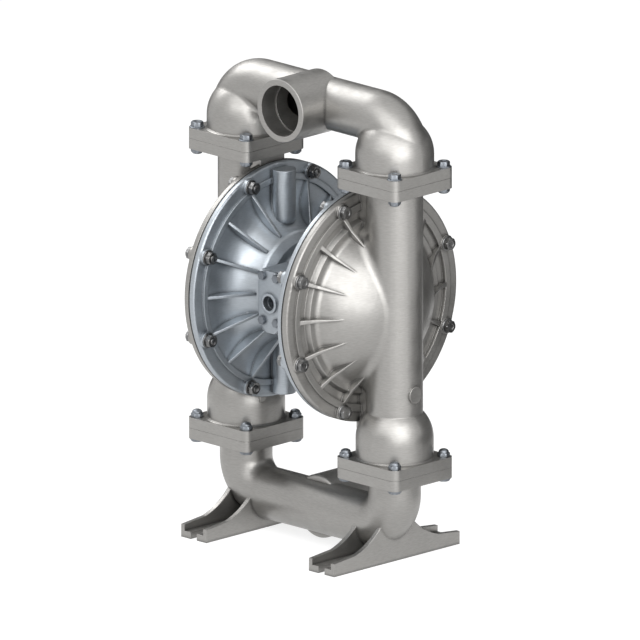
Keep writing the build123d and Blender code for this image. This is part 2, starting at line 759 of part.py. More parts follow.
# Diaphragm: a clamped rim, one rolling fold and a flat middle held between two washers
with BuildPart() as diaphragm:
    mid_x = (air_face_x + fluid_face_x) / 2
    with BuildSketch(Plane.XZ) as membrane:
        with BuildLine():
            Polyline(
                (fluid_face_x, rod_z + fold_out_r),
                (fluid_face_x, rod_z + disc_r),
                (air_face_x, rod_z + disc_r),
                (air_face_x, rod_z + fold_out_r),
            )
            ThreePointArc(
                (air_face_x, rod_z + fold_out_r),
                (air_face_x + fold_depth, rod_z + (fold_out_r + diaphragm_flat_r) / 2),
                (mid_x - diaphragm_hub_thick / 2, rod_z + diaphragm_flat_r),
            )
            Polyline(
                (mid_x - diaphragm_hub_thick / 2, rod_z + diaphragm_flat_r),
                (mid_x - diaphragm_hub_thick / 2, rod_z + screw_r + screw_hole_clearance),
                (mid_x + diaphragm_hub_thick / 2, rod_z + screw_r + screw_hole_clearance),
                (mid_x + diaphragm_hub_thick / 2, rod_z + diaphragm_flat_r),
            )
            ThreePointArc(
                (mid_x + diaphragm_hub_thick / 2, rod_z + diaphragm_flat_r),
                (fluid_face_x + fold_depth, rod_z + (fold_out_r + diaphragm_flat_r) / 2),
                (fluid_face_x, rod_z + fold_out_r),
            )
        make_face()
    revolve(axis=rod_axis)
    with BuildSketch(Plane.YZ.offset(air_face_x)) as rim_holes:
        with Locations((0, rod_z)):
            with PolarLocations(cap_bolt_circle_r, cap_bolt_count, start_angle=cap_bolt_angle):
                Circle(cap_hole_r)
    extrude(amount=fluid_face_x - air_face_x, mode=Mode.SUBTRACT)
write_pair(diaphragm, "diaphragm")


def dished_washer(face_x, back_x, hole_r, middle_r):
    """A clamping washer whose flat face meets the diaphragm and whose back tapers towards its edge."""
    toward = 1 if back_x > face_x else -1
    with BuildPart() as washer:
        with BuildSketch(Plane.XZ) as half:
            with BuildLine():
                Polyline(
                    (face_x, rod_z + hole_r),
                    (face_x, rod_z + washer_r),
                    (face_x + toward * washer_edge, rod_z + washer_r),
                    (back_x, rod_z + middle_r),
                    (back_x, rod_z + hole_r),
                    close=True,
                )
            make_face()
            rim = corner(half, face_x + toward * washer_edge, rod_z + washer_r)
            fillet(rim, radius=washer_rim_fillet)
        revolve(axis=rod_axis)
    return washer


screw_hole_r = screw_r + screw_hole_clearance
write_pair(dished_washer(hub_face_x, head_x, screw_hole_r, fluid_washer_middle_r), "fluid_washer")
diaphragm_hub_x = hub_face_x - diaphragm_hub_thick
write_pair(dished_washer(diaphragm_hub_x, rod_half, screw_hole_r, air_washer_middle_r), "air_washer")

# Rod, with a threaded hole at each end for the screw that clamps the washers
with BuildPart() as connecting_rod:
    with BuildSketch(Plane.YZ.offset(-rod_half)) as rod_outline:
        with Locations((0, rod_z)):
            Circle(rod_r)
    extrude(amount=2 * rod_half)
    chamfer(connecting_rod.edges().filter_by(GeomType.CIRCLE), length=rod_chamfer)
    with BuildSketch(Plane.YZ.offset(rod_half), Plane.YZ.offset(screw_depth - rod_half)) as rod_threads:
        with Locations((0, rod_z)):
            Circle(screw_r)
    extrude(amount=-screw_depth, mode=Mode.SUBTRACT)
write_piece(connecting_rod, "connecting_rod")

with BuildPart() as rod_screw:
    with BuildSketch(Plane.YZ.offset(head_x)) as head_outline:
        with Locations((0, rod_z)):
            RegularPolygon(screw_flats / 2, 6, major_radius=False)
    extrude(amount=screw_head)
    with BuildSketch(Plane.YZ.offset(head_x)) as shank_outline:
        with Locations((0, rod_z)):
            Circle(screw_r - running_clearance)
    extrude(amount=rod_half - screw_depth + tip_gap - head_x)
write_pair(rod_screw, "rod_screw")


def rod_ring(start_x, length):
    """A ring in the hub, round the rod."""
    with BuildPart() as ring:
        with BuildSketch(Plane.YZ.offset(start_x)) as ring_outline:
            with Locations((0, rod_z)):
                Circle(bushing_r)
                Circle(rod_r + running_clearance, mode=Mode.SUBTRACT)
        extrude(amount=length)
    return ring


write_pair(rod_ring(bushing_start_x, bushing_length), "rod_bushing")
write_pair(rod_ring(bushing_start_x + bushing_length, seal_width), "rod_seal")

# Centre body, which spaces the air caps and carries the air inlet, the pilot valve and the main valve
with BuildPart() as center_body:
    with BuildSketch(Plane.XZ.offset(-body_front_y)) as body_outline:
        with Locations((0, rod_z + (body_top - body_bottom) / 2)):
            Rectangle(2 * body_half, body_top + body_bottom)
    extrude(amount=body_front_y - body_back_y)
    with BuildSketch(Plane.XZ.offset(-body_back_y)) as valve_flange:
        with Locations((0, rod_z)):
            RectangleRounded(2 * valve_half, 2 * valve_half_height, valve_corner_r)
    extrude(amount=body_flange_thick)
    with BuildSketch(Plane.YZ.offset(-body_half)) as hub_seats:
        with Locations((0, rod_z)):
            Circle(hub_r)
    extrude(amount=2 * body_half)
    with BuildSketch(Plane.YZ.offset(-body_half)) as body_bores:
        with Locations((0, rod_z)):
            Circle(rod_r + rod_body_clearance)
        with Locations((0, rod_z - pilot_drop)):
            Circle(pilot_sleeve_r + seat_play)
    extrude(amount=2 * body_half, mode=Mode.SUBTRACT)
    with BuildSketch(Plane.YZ.offset(-body_half)) as screw_threads:
        with Locations((0, rod_z)):
            with PolarLocations(hub_screw_reach, hub_screw_count, start_angle=hub_screw_angle):
                Circle(small_screw_r + seat_play)
    extrude(amount=2 * body_half, mode=Mode.SUBTRACT)
    with BuildSketch(Plane.XZ.offset(-body_front_y)) as air_bore:
        with Locations((0, rod_z)):
            Circle(air_port_bore_r)
    extrude(amount=-air_port_depth, mode=Mode.SUBTRACT)
    with BuildSketch(Plane.XZ.offset(-body_front_y)) as plate_threads:
        with Locations(
            *[(x * inlet_screw_x, rod_z + z) for x in (-1, 1) for z in (inlet_screw_up, -inlet_screw_down)]
        ):
            Circle(small_screw_r + seat_play)
    extrude(amount=-small_screw_length, mode=Mode.SUBTRACT)
    with BuildSketch(Plane.XZ.offset(-body_back_y)) as valve_threads:
        with Locations((0, rod_z)):
            with GridLocations(2 * valve_screw_x, 2 * valve_screw_z, 2, 2):
                Circle(small_screw_r + seat_play)
    extrude(amount=small_screw_length, mode=Mode.SUBTRACT)
write_piece(center_body, "center_body")

# Gaskets between the centre body and the hubs
with BuildPart() as body_gasket:
    with BuildSketch(Plane.YZ.offset(body_half)) as gasket_outline:
        with Locations((0, rod_z)):
            Circle(hub_r)
            Circle(bushing_r + gasket_play, mode=Mode.SUBTRACT)
            with PolarLocations(hub_screw_reach, hub_screw_count, start_angle=hub_screw_angle):
                Circle(small_screw_r + gasket_play, mode=Mode.SUBTRACT)
        with Locations((0, rod_z - pilot_drop)):
            Circle(pilot_pin_r + gasket_play, mode=Mode.SUBTRACT)
    extrude(amount=gasket_thick)
write_pair(body_gasket, "body_gasket")

with BuildPart() as hub_screws:
    with BuildSketch(Plane.YZ.offset(hub_back_x - hub_screw_head)) as hub_screw_heads:
        with Locations((0, rod_z)):
            with PolarLocations(hub_screw_reach, hub_screw_count, start_angle=hub_screw_angle):
                Circle(hub_screw_head_r)
    extrude(amount=hub_screw_head)
    with BuildSketch(Plane.YZ.offset(hub_screw_reach_x)) as hub_screw_shanks:
        with Locations((0, rod_z)):
            with PolarLocations(hub_screw_reach, hub_screw_count, start_angle=hub_screw_angle):
                Circle(small_screw_r)
    extrude(amount=hub_back_x - hub_screw_head - hub_screw_reach_x)
    with BuildSketch(Plane.YZ.offset(hub_back_x)) as hub_screw_sockets:
        with Locations((0, rod_z)):
            with PolarLocations(hub_screw_reach, hub_screw_count, start_angle=hub_screw_angle):
                RegularPolygon(hub_screw_socket_r, 6)
    extrude(amount=-hub_screw_head / 2, mode=Mode.SUBTRACT)
write_pair(hub_screws, "hub_screws")

# Air inlet plate on the front of the centre body, with a 3/4 inch threaded port
def inlet_plate_outline():
    """Plate outline with its corners cut at 45 degrees, less the port's bore."""
    with BuildSketch() as outline:
        with Locations((0, (body_top - body_bottom) / 2)):
            Rectangle(2 * inlet_plate_half, body_top + body_bottom)
        chamfer(outline.vertices(), length=inlet_plate_corner)
        Circle(air_port_bore_r, mode=Mode.SUBTRACT)
        screw_heights = (inlet_screw_up, -inlet_screw_down)
        with Locations(*[(side * inlet_screw_x, z) for side in (-1, 1) for z in screw_heights]):
            Circle(small_screw_r + gasket_play, mode=Mode.SUBTRACT)
    return outline.sketch


with BuildPart() as inlet_gasket:
    gasket_plane = Plane((0, body_front_y, rod_z), x_dir=(1, 0, 0), z_dir=(0, -1, 0))
    extrude(gasket_plane * inlet_plate_outline(), gasket_thick)
write_piece(inlet_gasket, "air_inlet_gasket")

with BuildPart() as inlet_plate:
    plate_plane = Plane((0, plate_y, rod_z), x_dir=(1, 0, 0), z_dir=(0, -1, 0))
    extrude(plate_plane * inlet_plate_outline(), inlet_plate_thick)
    with BuildSketch(Plane.XZ.offset(-plate_y)) as air_port:
        with Locations((0, rod_z)):
            Circle(air_port_r)
            Circle(air_port_bore_r, mode=Mode.SUBTRACT)
    extrude(amount=plate_y - port_face_y)
write_piece(inlet_plate, "air_inlet_plate")

with BuildPart() as inlet_screws:
    spots = [(x * inlet_screw_x, rod_z + z) for x in (-1, 1) for z in (inlet_screw_up, -inlet_screw_down)]
    with BuildSketch(Plane.XZ.offset(inlet_plate_thick - plate_y)) as screw_heads:
        with Locations(*spots):
            RegularPolygon(small_screw_flats / 2, 6, major_radius=False)
    extrude(amount=small_screw_head)
    with BuildSketch(Plane.XZ.offset(inlet_plate_thick - plate_y)) as screw_shanks:
        with Locations(*spots):
            Circle(small_screw_r)
    extrude(amount=-small_screw_length)
write_piece(inlet_screws, "air_inlet_screws")

# Pilot valve: a sleeve in the centre body and a shuttle whose pins the inner washers push
with BuildPart() as pilot_sleeve:
    with BuildSketch(Plane.YZ.offset(-body_half)) as sleeve_outline:
        with Locations((0, rod_z - pilot_drop)):
            Circle(pilot_sleeve_r)
            Circle(pilot_r, mode=Mode.SUBTRACT)
    extrude(amount=2 * body_half)
write_piece(pilot_sleeve, "pilot_sleeve")

with BuildPart() as pilot_shuttle:
    with BuildSketch(Plane.XZ) as shuttle_half:
        land_r = pilot_r - running_clearance
        pin_r = pilot_pin_r - running_clearance
        with BuildLine():
            Polyline(
                (0, rod_z - pilot_drop),
                (0, rod_z - pilot_drop + pin_r),
                (pilot_land_half / 2, rod_z - pilot_drop + pin_r),
                (pilot_land_half / 2, rod_z - pilot_drop + land_r),
                (pilot_land_half, rod_z - pilot_drop + land_r),
                (pilot_land_half, rod_z - pilot_drop + pin_r),
                (pilot_half, rod_z - pilot_drop + pin_r),
                (pilot_half, rod_z - pilot_drop),
                close=True,
            )
        make_face()
        mirror(about=Plane.YZ)
    revolve(axis=Axis((0, 0, rod_z - pilot_drop), (1, 0, 0)))
write_piece(pilot_shuttle, "pilot_shuttle")

# Main air valve: block, gasket, sleeve, spool, two end caps and their screws
with BuildPart() as valve_gasket:
    with BuildSketch(Plane.XZ.offset(-valve_y)) as valve_gasket_outline:
        with Locations((0, rod_z)):
            RectangleRounded(2 * valve_half, 2 * valve_half_height, valve_corner_r)
            with GridLocations(2 * valve_screw_x, 2 * valve_screw_z, 2, 2):
                Circle(small_screw_r + gasket_play, mode=Mode.SUBTRACT)
    extrude(amount=gasket_thick)
write_piece(valve_gasket, "valve_gasket")

with BuildPart() as valve_block:
    with BuildSketch(Plane.XZ.offset(-valve_y)) as block_outline:
        with Locations((0, rod_z)):
            RectangleRounded(2 * valve_half, 2 * valve_half_height, valve_corner_r)
    extrude(amount=-valve_depth)
    with BuildSketch(Plane.XZ.offset(-valve_back_y)) as exhaust_boss:
        with Locations((0, rod_z - exhaust_drop)):
            Circle(exhaust_r)
    extrude(amount=-exhaust_reach)
    with BuildSketch(Plane.XZ.offset(-valve_back_y - exhaust_reach)) as exhaust_bore:
        with Locations((0, rod_z - exhaust_drop)):
            Circle(exhaust_bore_r)
    extrude(amount=exhaust_depth, mode=Mode.SUBTRACT)
    with BuildSketch(Plane.XY.offset(rod_z - valve_half_height)) as spool_bore:
        with Locations((0, spool_y)):
            Circle(sleeve_r + seat_play)
    extrude(amount=2 * valve_half_height, mode=Mode.SUBTRACT)
    with BuildSketch(Plane.XZ.offset(-valve_y)) as block_screw_holes:
        with Locations((0, rod_z)):
            with GridLocations(2 * valve_screw_x, 2 * valve_screw_z, 2, 2):
                Circle(small_screw_r + seat_play)
    extrude(amount=-valve_depth, mode=Mode.SUBTRACT)
    thread_planes = [
        Plane.XY.offset(rod_z + valve_half_height),
        Plane.XY.offset(rod_z - valve_half_height + valve_screw_depth),
    ]
    with BuildSketch(*thread_planes) as cap_threads:
        with Locations((0, spool_y)):
            with GridLocations(valve_cap_screw_pitch, valve_cap_screw_pitch, 2, 2):
                Circle(valve_cap_screw_r + seat_play)
    extrude(amount=-valve_screw_depth, mode=Mode.SUBTRACT)
write_piece(valve_block, "valve_block")

with BuildPart() as valve_screws:
    with BuildSketch(Plane.XZ.offset(-valve_back_y)) as valve_screw_heads:
        with Locations((0, rod_z)):
            with GridLocations(2 * valve_screw_x, 2 * valve_screw_z, 2, 2):
                RegularPolygon(small_screw_flats / 2 * valve_head_share, 6, major_radius=False)
    extrude(amount=-small_screw_head)
    with BuildSketch(Plane.XZ.offset(-valve_back_y)) as valve_screw_shanks:
        with Locations((0, rod_z)):
            with GridLocations(2 * valve_screw_x, 2 * valve_screw_z, 2, 2):
                Circle(small_screw_r)
    extrude(amount=valve_depth + gasket_thick + small_screw_length - tip_gap)
write_piece(valve_screws, "valve_screws")

with BuildPart() as valve_sleeve:
    with BuildSketch(Plane.XY.offset(rod_z - valve_half_height)) as valve_sleeve_outline:
        with Locations((0, spool_y)):
            Circle(sleeve_r)
            Circle(spool_r, mode=Mode.SUBTRACT)
    extrude(amount=2 * valve_half_height)
write_piece(valve_sleeve, "valve_sleeve")

with BuildPart() as valve_spool:
    with BuildSketch(Plane.XY.offset(rod_z - spool_half)) as spool_core:
        with Locations((0, spool_y)):
            Circle(spool_neck_r)
    extrude(amount=2 * spool_half)
    for land_z in (-spool_half, -spool_land / 2, spool_half - spool_land):
        with BuildSketch(Plane.XY.offset(rod_z + land_z)) as land:
            with Locations((0, spool_y)):
                Circle(spool_r - running_clearance)
        extrude(amount=spool_land)
write_piece(valve_spool, "valve_spool")

for end, name in ((1, "top"), (-1, "bottom")):
    cap_z = rod_z + end * valve_half_height
    with BuildPart() as valve_cap:
        with BuildSketch(Plane.XY.offset(cap_z)) as cap_outline:
            with Locations((0, spool_y)):
                RectangleRounded(valve_cap_side, valve_cap_side, valve_corner_r)
                with GridLocations(valve_cap_screw_pitch, valve_cap_screw_pitch, 2, 2):
                    Circle(valve_cap_screw_r + seat_play, mode=Mode.SUBTRACT)
        extrude(amount=end * valve_cap_thick)
    write_piece(valve_cap, f"{name}_valve_cap")

with BuildPart() as valve_cap_screws:
    for end in (-1, 1):
        top_z = rod_z + end * (valve_half_height + valve_cap_thick)
        with BuildSketch(Plane.XY.offset(top_z)) as cap_screw_heads:
            with Locations((0, spool_y)):
                with GridLocations(valve_cap_screw_pitch, valve_cap_screw_pitch, 2, 2):
                    Circle(valve_cap_screw_head_r)
        extrude(amount=end * valve_cap_screw_head)
        with BuildSketch(Plane.XY.offset(top_z)) as cap_screw_shanks:
            with Locations((0, spool_y)):
                with GridLocations(valve_cap_screw_pitch, valve_cap_screw_pitch, 2, 2):
                    Circle(valve_cap_screw_r)
        extrude(amount=-end * (valve_cap_thick + valve_screw_depth - tip_gap))
write_piece(valve_cap_screws, "valve_cap_screws")

# Ball valves: two where the inlet manifold meets the caps and two where the caps meet the outlet manifold
for joint_z, port in ((lower_joint_z, "inlet"), (upper_joint_z, "outlet")):
    with BuildPart() as seat:
        with BuildSketch(Plane.XY.offset(joint_z)) as seat_outline:
            with Locations((column_x, 0)):
                Circle(seat_r)
                Circle(seat_bore_r, mode=Mode.SUBTRACT)
        extrude(amount=-seat_thick)
        with BuildSketch(Plane.XY.offset(joint_z)) as seal_step:
            with Locations((column_x, 0)):
                Circle(seat_r)
                Circle(seal_step_r, mode=Mode.SUBTRACT)
        extrude(amount=-seal_step_depth, mode=Mode.SUBTRACT)
        with Locations((column_x, 0, joint_z + ball_height)):
            Sphere(ball_r + seat_clearance, mode=Mode.SUBTRACT)
    write_pair(seat, f"{port}_seat")
    with BuildPart() as seat_seal:
        with Locations((column_x, 0, joint_z + joint_gap - seal_section_r - seal_clearance)):
            Torus(seal_r, seal_section_r)
    write_pair(seat_seal, f"{port}_seat_seal")
    with BuildPart() as ball:
        with Locations((column_x, 0, joint_z + ball_height)):
            Sphere(ball_r)
    write_pair(ball, f"{port}_ball")

# Bolts and nuts round the caps: heads on the fluid side, washers and nuts on the air side
nut_face_x = air_boss_x - cap_washer_thick - cap_nut_height


def cap_ring(plane_x):
    """Sketch plane of the bolt circle at a given distance from the pump's middle."""
    return Plane((plane_x, 0, rod_z), x_dir=(0, 1, 0), z_dir=(1, 0, 0))


with BuildPart() as cap_bolts:
    with BuildSketch(cap_ring(fluid_boss_x)) as bolt_heads:
        with PolarLocations(cap_bolt_circle_r, cap_bolt_count, start_angle=cap_bolt_angle):
            RegularPolygon(cap_head_flats / 2, 6, major_radius=False)
    extrude(amount=cap_head_height)
    with BuildSketch(cap_ring(nut_face_x - bolt_point)) as bolt_shanks:
        with PolarLocations(cap_bolt_circle_r, cap_bolt_count, start_angle=cap_bolt_angle):
            Circle(cap_bolt_r)
    extrude(amount=fluid_boss_x - nut_face_x + bolt_point)
write_pair(cap_bolts, "cap_bolts")

with BuildPart() as cap_nuts:
    with BuildSketch(cap_ring(nut_face_x)) as nuts:
        with PolarLocations(cap_bolt_circle_r, cap_bolt_count, start_angle=cap_bolt_angle):
            RegularPolygon(cap_head_flats / 2, 6, major_radius=False)
            Circle(cap_bolt_r + seat_play, mode=Mode.SUBTRACT)
    extrude(amount=cap_nut_height)
    with BuildSketch(cap_ring(nut_face_x + cap_nut_height)) as nut_washers:
        with PolarLocations(cap_bolt_circle_r, cap_bolt_count, start_angle=cap_bolt_angle):
            Circle(cap_washer_r)
            Circle(cap_bolt_r + seat_play, mode=Mode.SUBTRACT)
    extrude(amount=cap_washer_thick)
write_pair(cap_nuts, "cap_nuts")


def flange_hexes(flats):
    """Hexagons at the corners of both flanges."""
    with BuildSketch() as hexes:
        with column_spots():
            with GridLocations(flange_bolt_pitch, flange_bolt_pitch, 2, 2):
                RegularPolygon(flats / 2, 6, major_radius=False)
    return hexes.sketch


def flange_fasteners(head_z, nut_z, head_height, nut_height):
    """Bolts with washers under their heads, and domed nuts on the far side."""
    toward = 1 if head_z > nut_z else -1
    with BuildPart() as bolts:
        washers = Plane.XY.offset(head_z) * flange_holes(flange_washer_r)
        extrude(washers, amount=toward * flange_washer_thick)
        head_foot_z = head_z + toward * flange_washer_thick
        extrude(Plane.XY.offset(head_foot_z) * flange_hexes(flange_nut_flats), amount=toward * head_height)
        shank_end_z = nut_z - toward * nut_hex_height
        extrude(Plane.XY.offset(head_z) * flange_holes(flange_bolt_r), amount=shank_end_z - head_z)
    with BuildPart() as nuts:
        extrude(Plane.XY.offset(nut_z) * flange_hexes(flange_nut_flats), amount=-toward * nut_hex_height)
        dome_height = nut_height - nut_hex_height
        domes = Plane.XY.offset(nut_z - toward * nut_hex_height) * flange_holes(flange_nut_flats / 2)
        extrude(domes, amount=-toward * dome_height)
        tip_z = nut_z - toward * nut_height
        tips = nuts.faces().filter_by_position(Axis.Z, tip_z - seat_play, tip_z + seat_play)
        fillet(tips.edges(), radius=dome_height * nut_dome_share)
        extrude(
            Plane.XY.offset(nut_z) * flange_holes(flange_bolt_r + seat_play),
            amount=-toward * (nut_hex_height + seat_play),
            mode=Mode.SUBTRACT,
        )
    return bolts, nuts


bolts, nuts = flange_fasteners(inlet_flange_z, cap_foot_top_z, inlet_head_height, inlet_nut_height)
write_piece(bolts, "inlet_flange_bolts")
write_piece(nuts, "inlet_flange_nuts")
bolts, nuts = flange_fasteners(outlet_flange_z, cap_neck_z, outlet_head_height, outlet_nut_height)
write_piece(bolts, "outlet_flange_bolts")
write_piece(nuts, "outlet_flange_nuts")
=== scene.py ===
"""Finishes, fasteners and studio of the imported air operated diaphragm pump.

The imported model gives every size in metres: X runs along the diaphragm rod, the outlet faces -Y and Z is up.
"""

import json
from math import cos, radians, sin

import bpy
import numpy as np
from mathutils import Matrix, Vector


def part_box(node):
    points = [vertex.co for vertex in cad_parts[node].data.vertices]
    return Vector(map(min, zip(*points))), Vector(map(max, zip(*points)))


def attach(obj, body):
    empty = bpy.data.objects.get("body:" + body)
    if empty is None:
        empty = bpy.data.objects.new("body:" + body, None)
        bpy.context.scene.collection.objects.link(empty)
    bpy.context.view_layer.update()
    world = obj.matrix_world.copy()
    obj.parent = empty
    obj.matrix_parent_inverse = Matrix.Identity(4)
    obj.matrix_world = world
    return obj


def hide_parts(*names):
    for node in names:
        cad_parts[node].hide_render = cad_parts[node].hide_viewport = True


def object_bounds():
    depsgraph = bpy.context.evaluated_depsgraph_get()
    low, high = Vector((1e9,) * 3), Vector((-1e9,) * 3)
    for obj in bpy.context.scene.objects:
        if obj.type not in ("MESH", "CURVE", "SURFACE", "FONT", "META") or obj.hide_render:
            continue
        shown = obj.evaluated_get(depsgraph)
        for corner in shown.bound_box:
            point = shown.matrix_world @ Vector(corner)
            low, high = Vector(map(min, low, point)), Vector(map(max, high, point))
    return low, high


bl_info = {
    "name": "Diaphragm Pump",
    "version": (1, 0, 0),
    "blender": (4, 5, 0),
    "location": "View3D > Sidebar > Pump",
    "description": "Finishes, fasteners and studio of an air operated diaphragm pump",
    "category": "Object",
}

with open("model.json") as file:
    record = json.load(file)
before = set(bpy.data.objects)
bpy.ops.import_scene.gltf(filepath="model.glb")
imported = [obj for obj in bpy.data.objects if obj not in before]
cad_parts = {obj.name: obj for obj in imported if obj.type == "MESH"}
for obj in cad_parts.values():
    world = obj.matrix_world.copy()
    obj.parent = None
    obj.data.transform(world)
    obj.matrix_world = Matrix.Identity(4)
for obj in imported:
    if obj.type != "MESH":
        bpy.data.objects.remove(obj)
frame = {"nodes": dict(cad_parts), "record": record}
CAD_LOW, CAD_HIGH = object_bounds()
RECORD_SLOTS = {part["node"]: part["material_slot"] for part in frame["record"]["subparts"]}

# Height of the rod, and distance of both columns from the pump's middle
ROD_Z = sum(corner.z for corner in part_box("connecting_rod")) / 2
COLUMN_X = sum(corner.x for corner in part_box("right_outlet_seat")) / 2
SIDES = (("right", 1.0), ("left", -1.0))

# All fasteners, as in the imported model
BOLT_R = 0.006
WASHER_R = 0.0127
WASHER = 0.002

# Bolts and nuts round the caps: widths across flats, heights, and the bosses that they rest on
CAP_BOLTS = 8
CAP_BOLT_CIRCLE = 0.187
CAP_BOLT_ANGLE = 22.5
CAP_HEX = 0.0196
CAP_HEAD = 0.010
CAP_FACE = 0.0024
CAP_SHANK = 0.02
CAP_NUT = 0.010
BOLT_POINT = 0.002
FLUID_BOSS_X = 0.126
AIR_BOSS_X = 0.092

# Bolts and domed nuts at the corners of the square flanges
FLANGE_PITCH = 0.1155
FLANGE_HEX = 0.0185
NUT_HEX = 0.007
# port, heights that the bolts and the nuts rest at, way that the heads face, height of a head and of a nut
FLANGE_JOINTS = (
    ("outlet", 0.6805, 0.6442, 1.0, 0.008, 0.010),
    ("inlet", 0.1433, 0.1796, -1.0, 0.0038, 0.0135),
)

# Ball cages: name, radius and the height that they stand at; and how far a ring's edges dip into them
CAGES = (("upper", 0.066, 0.6805), ("lower", 0.0653, 0.1796))
RING_DIP = 0.00012

# Reach of a ball cage round its column's axis, and of a cap above and below the rod
CAGE_R = 0.067
CAP_REACH = 0.206

# Fineness of the meshes, and the angle in degrees past which an edge is sharp
HEXAGON_COLUMNS = 48
DOME_ROWS = 8
RING_COLUMNS = 96
RING_ROWS = 9
SHARP_ANGLE = 35
# The hexagon of a head starts this far above its flange, so that the two rows of points stay apart
HEAD_LIFT = 0.0001

# Values that noise seldom leaves
NOISE_LOW = 0.35
NOISE_HIGH = 0.65

# Castings: swells and clouds in grains, strokes as the grain's scale on each axis
CAST_METALLIC = 0.9
SWELL_GRAINS = 16
CLOUD_GRAINS = 24
STROKE_SCALE = (0.12, 0.12, 1)
# How far clouds change the roughness, and how strokes and the painted shade in nooks change the colour
CAST_CLOUDS = 0.05
STROKE_TINTS = (0.94, 1.05)
NOOK_SHADE_TINT = 0.22
# Reach of the painted shade in a nook, in edge radii, and rays that look for edges and nooks
NOOK_SHADE_REACH = 2.4
EDGE_SAMPLES = 6

# Other finishes: size of their clouds in grains, and how far these change roughness and colour
PLAIN_CLOUD_GRAINS = 8
PLAIN_CLOUDS = 0.06
PLAIN_TINTS = (0.85, 1.15)
STEEL_GRAIN = 0.0012
STEEL_BUMP = 0.3
# slot, colour, metallic, roughness, grain and strength of the bump
PLAIN_FINISHES = (
    ("diaphragm_rubber", (0.012, 0.012, 0.012), 0.0, 0.60, 0.0020, 0.30),
    ("seal_rubber", (0.020, 0.020, 0.020), 0.0, 0.55, 0.0010, 0.20),
    ("bushing_bronze", (0.450, 0.280, 0.110), 1.0, 0.35, 0.0012, 0.20),
    ("ball_rubber", (0.030, 0.030, 0.030), 0.0, 0.50, 0.0015, 0.20),
    ("valve_plastic", (0.550, 0.540, 0.500), 0.0, 0.40, 0.0010, 0.10),
    ("valve_metal", (0.450, 0.460, 0.480), 1.0, 0.35, 0.0010, 0.20),
    ("machined_stainless", (0.420, 0.410, 0.390), 1.0, 0.30, 0.0009, 0.25),
)

# Studio
FLOOR_SIZE = 8.0
FLOOR_GAP = 0.0004
FLOOR_PAINT = 0.3
FLOOR_GLOW = 0.8
AMBIENT = 0.55
VIEW_AZIMUTH = 45.0
VIEW_ELEVATION = 15.5
VIEW_WIDTH = 1.06667
VIEW_DISTANCE = 3.0
VIEW_TARGET = (-0.0005, -0.0005, 0.3807)
VIEW_DEPTH = 20.0
# Lamps: name, azimuth and elevation, distance, width, height and power
LIGHTS = (
    ("key_light", -90.0, 43.0, 3.0, 1.7, 1.7, 40.0),
    ("front_light", 66.0, 22.0, 3.3, 3.0, 3.0, 100.0),
    ("upper_light", 15.0, 45.0, 3.0, 2.8, 2.4, 40.0),
)
# Dark cards: name, azimuth, distance, width, lower and upper edge, and tone
FLAGS = (
    ("back_flag", 202.0, 1.6, 1.6, 0.0, 2.2, 0.02),
    ("left_flag", 242.0, 1.6, 1.3, 0.0, 1.2, 0.02),
    ("right_flag", 158.0, 1.6, 1.5, 0.0, 2.0, 0.02),
    ("low_flag", 142.0, 0.64, 0.95, 0.0, 0.30, 0.18),
)
FLAG_ROUGHNESS = 0.5


class PumpFinish(bpy.types.PropertyGroup):
    """Colours, grain and edges of the pump's materials."""

    stainless: bpy.props.FloatVectorProperty(
        name="Stainless", description="Colour of the blasted stainless castings", subtype="COLOR",
        default=(0.315, 0.308, 0.296), min=0, max=1,
    )
    aluminium: bpy.props.FloatVectorProperty(
        name="Aluminium", description="Colour of the aluminium castings", subtype="COLOR",
        default=(0.375, 0.405, 0.435), min=0, max=1,
    )
    dark_steel: bpy.props.FloatVectorProperty(
        name="Dark Steel", description="Colour of the bolts and nuts round the caps", subtype="COLOR",
        default=(0.165, 0.165, 0.165), min=0, max=1,
    )
    zinc: bpy.props.FloatVectorProperty(
        name="Zinc", description="Colour of the plated fasteners", subtype="COLOR",
        default=(0.20, 0.215, 0.235), min=0, max=1,
    )
    grain: bpy.props.FloatProperty(
        name="Grain", description="Size of the blasted grain", default=0.0011, min=0.0002, max=0.01,
        subtype="DISTANCE", unit="LENGTH",
    )
    edge: bpy.props.FloatProperty(
        name="Edge", description="Radius of the cast edges and inner corners", default=0.0026, min=0,
        max=0.01, subtype="DISTANCE", unit="LENGTH",
    )
    machined_edge: bpy.props.FloatProperty(
        name="Machined Edge", description="Radius of the edges of flanges, feet and ports", default=0.0008,
        min=0, max=0.01, subtype="DISTANCE", unit="LENGTH",
    )


class PumpSizes(bpy.types.PropertyGroup):
    """Sizes of the detailed fasteners and of the rounds at the ball cages."""

    chamfer: bpy.props.FloatProperty(
        name="Chamfer", description="Turned chamfer on the corners of hexagons", default=0.0014, min=0,
        max=0.004, subtype="DISTANCE", unit="LENGTH",
    )
    corner: bpy.props.FloatProperty(
        name="Corner", description="Radius of the rounds at the foot of the ball cages", default=0.0042,
        min=0.001, max=0.005, subtype="DISTANCE", unit="LENGTH",
    )


def feed(owner, value, socket):
    """Link a socket to another one, or set it to a plain value, in a material's or a world's nodes."""
    if isinstance(value, bpy.types.NodeSocket):
        owner.node_tree.links.new(value, socket)
    else:
        socket.default_value = value


def shader(owner, kind, **values):
    """A new shader node with its sockets fed."""
    node = owner.node_tree.nodes.new(kind)
    for name, value in values.items():
        feed(owner, value, node.inputs[name.replace("_", " ")])
    return node


def combined(owner, operation, first, second):
    """The result of a Math node on two sockets or numbers."""
    node = owner.node_tree.nodes.new("ShaderNodeMath")
    node.operation = operation
    feed(owner, first, node.inputs[0])
    feed(owner, second, node.inputs[1])
    return node.outputs["Value"]


